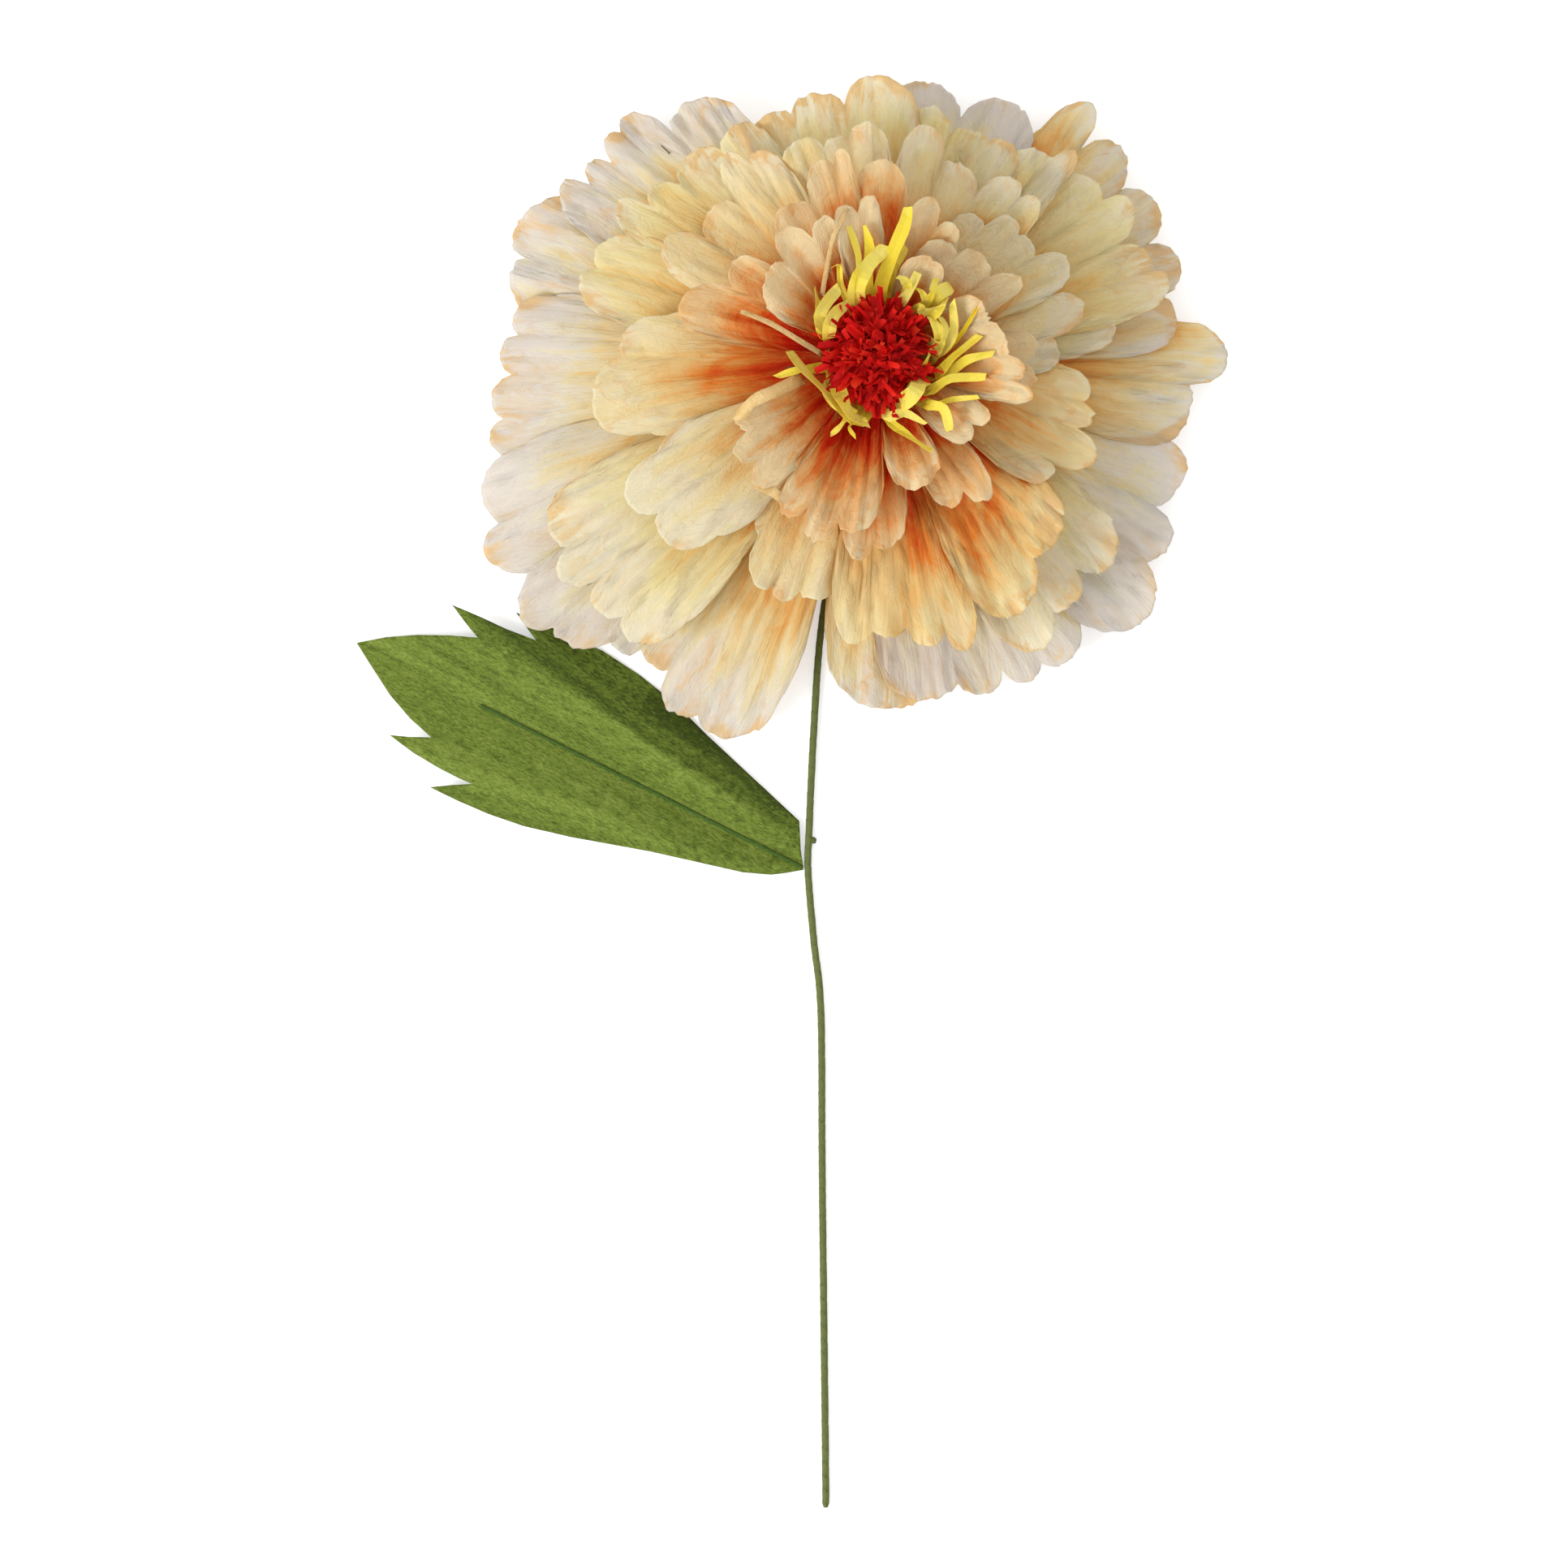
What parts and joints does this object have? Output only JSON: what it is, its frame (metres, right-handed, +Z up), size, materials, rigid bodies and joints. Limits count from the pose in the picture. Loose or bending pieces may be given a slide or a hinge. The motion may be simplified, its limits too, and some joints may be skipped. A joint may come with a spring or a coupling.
{
  "type": "paper flower",
  "caption": "Large handmade crepe paper flower with layered dip-dyed petals, yellow stamens, a red fringed centre, a taped wire stem and one pleated leaf, lying face up.",
  "frame": {"origin": "centre of the bounding box's base, on the surface that the flower lies on", "axes": "+Z up, the way the flower's face looks; +Y along the stem from its cut end towards the head"},
  "size_m": [0.5436, 0.8886, 0.1422],
  "materials": {
    "crepe_outer": "matte crepe, white to cream with yellowish edges",
    "crepe_back": "matte crepe, cream tips over peach",
    "crepe_middle": "matte crepe, peach over orange",
    "crepe_front": "matte crepe, cream tips over orange red",
    "crepe_inner": "matte crepe, orange over deep red",
    "crepe_yellow": "matte crepe, bright yellow",
    "crepe_red": "matte crepe, deep red, finely cut",
    "crepe_leaf": "matte crepe, leaf green, pleated",
    "stem_tape": "waxy crepe tape, grey green, wound in a spiral",
    "florist_wire": "dull annealed wire"
  },
  "bodies": {
    "root": {"stem_tape": "stem_tape", "stem_wire": "florist_wire", "leaf": "crepe_leaf", "leaf_wire": "stem_tape", "petal_binding": "stem_tape", "centre_fringe": "crepe_red", "stamen_fringe": "crepe_yellow", "petal_wire_1": "florist_wire", "petal_wire_2": "florist_wire", "petal_wire_3": "florist_wire", "petal_outer_1": "crepe_outer", "petal_outer_2": "crepe_outer", "petal_outer_3": "crepe_outer", "petal_outer_4": "crepe_outer", "petal_outer_5": "crepe_outer", "petal_outer_6": "crepe_outer", "petal_outer_7": "crepe_outer", "petal_outer_8": "crepe_outer", "petal_outer_9": "crepe_outer", "petal_outer_10": "crepe_outer", "petal_outer_11": "crepe_outer", "petal_outer_12": "crepe_outer", "petal_outer_13": "crepe_outer", "petal_outer_14": "crepe_outer", "petal_back_1": "crepe_back", "petal_back_2": "crepe_back", "petal_back_3": "crepe_back", "petal_back_4": "crepe_back", "petal_back_5": "crepe_back", "petal_back_6": "crepe_back", "petal_back_7": "crepe_back", "petal_back_8": "crepe_back", "petal_back_9": "crepe_back", "petal_middle_1": "crepe_middle", "petal_middle_2": "crepe_middle", "petal_middle_3": "crepe_middle", "petal_middle_4": "crepe_middle", "petal_middle_5": "crepe_middle", "petal_middle_6": "crepe_middle", "petal_middle_7": "crepe_middle", "petal_middle_8": "crepe_middle", "petal_middle_9": "crepe_middle", "petal_middle_10": "crepe_middle", "petal_middle_11": "crepe_middle", "petal_front_1": "crepe_front", "petal_front_2": "crepe_front", "petal_front_3": "crepe_front", "petal_front_4": "crepe_front", "petal_front_5": "crepe_front", "petal_front_6": "crepe_front", "petal_front_7": "crepe_front", "petal_front_8": "crepe_front", "petal_inner_1": "crepe_inner", "petal_inner_2": "crepe_inner", "petal_inner_3": "crepe_inner", "petal_inner_4": "crepe_inner", "petal_inner_5": "crepe_inner", "petal_inner_6": "crepe_inner", "petal_inner_7": "crepe_inner", "petal_inner_8": "crepe_inner"}
  },
  "joints": []
}
